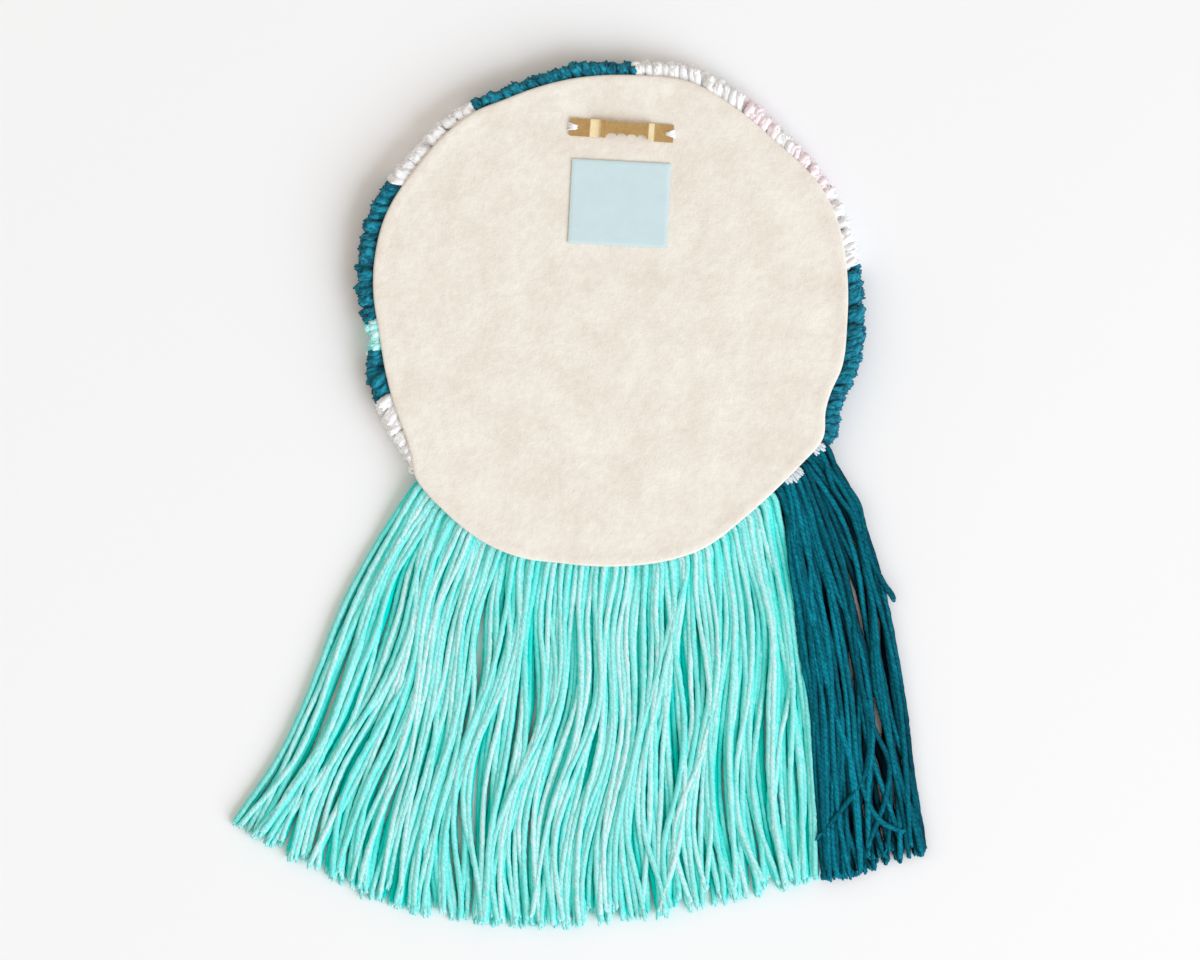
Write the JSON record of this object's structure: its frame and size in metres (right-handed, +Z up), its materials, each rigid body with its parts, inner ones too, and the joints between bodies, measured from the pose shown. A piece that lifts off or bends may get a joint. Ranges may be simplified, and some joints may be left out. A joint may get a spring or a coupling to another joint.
{
  "type": "tufted wall hanging",
  "caption": "Round tufted yarn wall hanging lying face down: felt back, sewn sawtooth hanger, blank label, cut pile rim and long yarn fringe.",
  "frame": {"origin": "under the middle of the whole hanging, on the surface it lies on", "axes": "+Z up out of the felt back, +Y to the top of the hanging, where its hanger is, +X to the right as the back is seen"},
  "size_m": [0.2988, 0.3788, 0.0164],
  "materials": {
    "felt": "cream brushed felt",
    "pile": "cut yarn pile in teal, aqua, white and pale pink",
    "aqua_yarn": "matt plied yarn",
    "teal_yarn": "matt plied yarn",
    "label_cloth": "thin smooth woven cloth",
    "brass": "pressed brass-plated strip"
  },
  "bodies": {
    "root": {"backing": "felt", "tufted_face": "pile", "fringe_aqua": "aqua_yarn", "fringe_teal": "teal_yarn", "label": "label_cloth", "sawtooth_hanger": "brass"}
  },
  "joints": []
}
